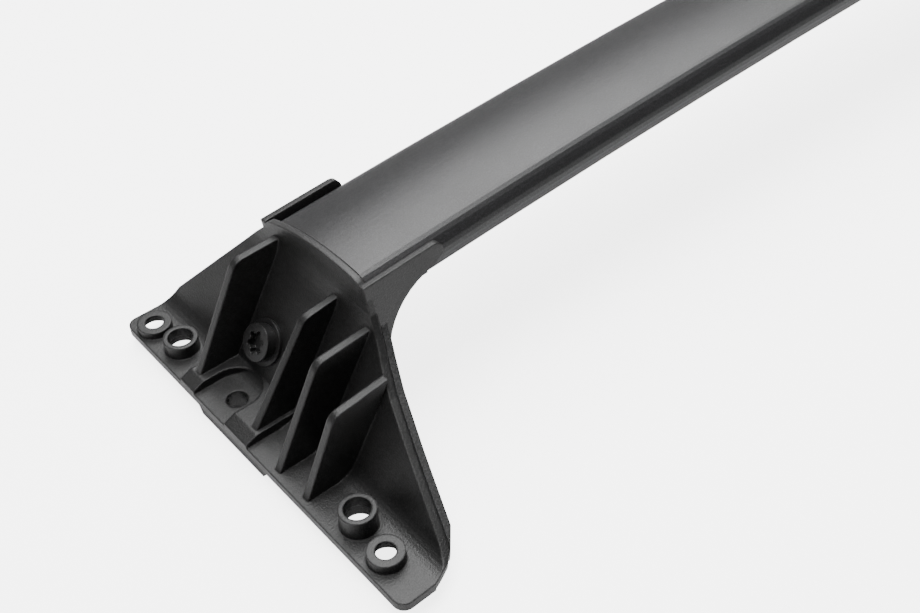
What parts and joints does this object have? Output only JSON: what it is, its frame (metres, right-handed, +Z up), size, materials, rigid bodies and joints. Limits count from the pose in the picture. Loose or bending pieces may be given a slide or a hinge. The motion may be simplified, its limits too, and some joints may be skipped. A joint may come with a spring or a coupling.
{
  "type": "roof rack crossbar",
  "caption": "Black bowed aero roof crossbar between two ribbed cast feet with bossed fixing holes and trim shells",
  "frame": {"origin": "bottom centre of the bounding box, on the plane the two keels stand on", "axes": "X along the bar, -Y the leading edge, +Z up"},
  "size_m": [1, 0.195, 0.0889],
  "materials": {
    "bar_paint": "satin black powder coat",
    "cast_black": "fine textured black coating on a casting",
    "trim_plastic": "grained black",
    "black_steel": "black coated steel",
    "zinc_steel": "zinc plated"
  },
  "bodies": {
    "root": {"crossbar": "bar_paint", "foot_left": "cast_black", "foot_right": "cast_black", "trim_left": "trim_plastic", "trim_right": "trim_plastic", "clamp_screws": "black_steel", "clamp_washers": "black_steel", "clamp_nuts": "zinc_steel", "bar_screws": "zinc_steel", "bar_washers": "zinc_steel"}
  },
  "joints": []
}
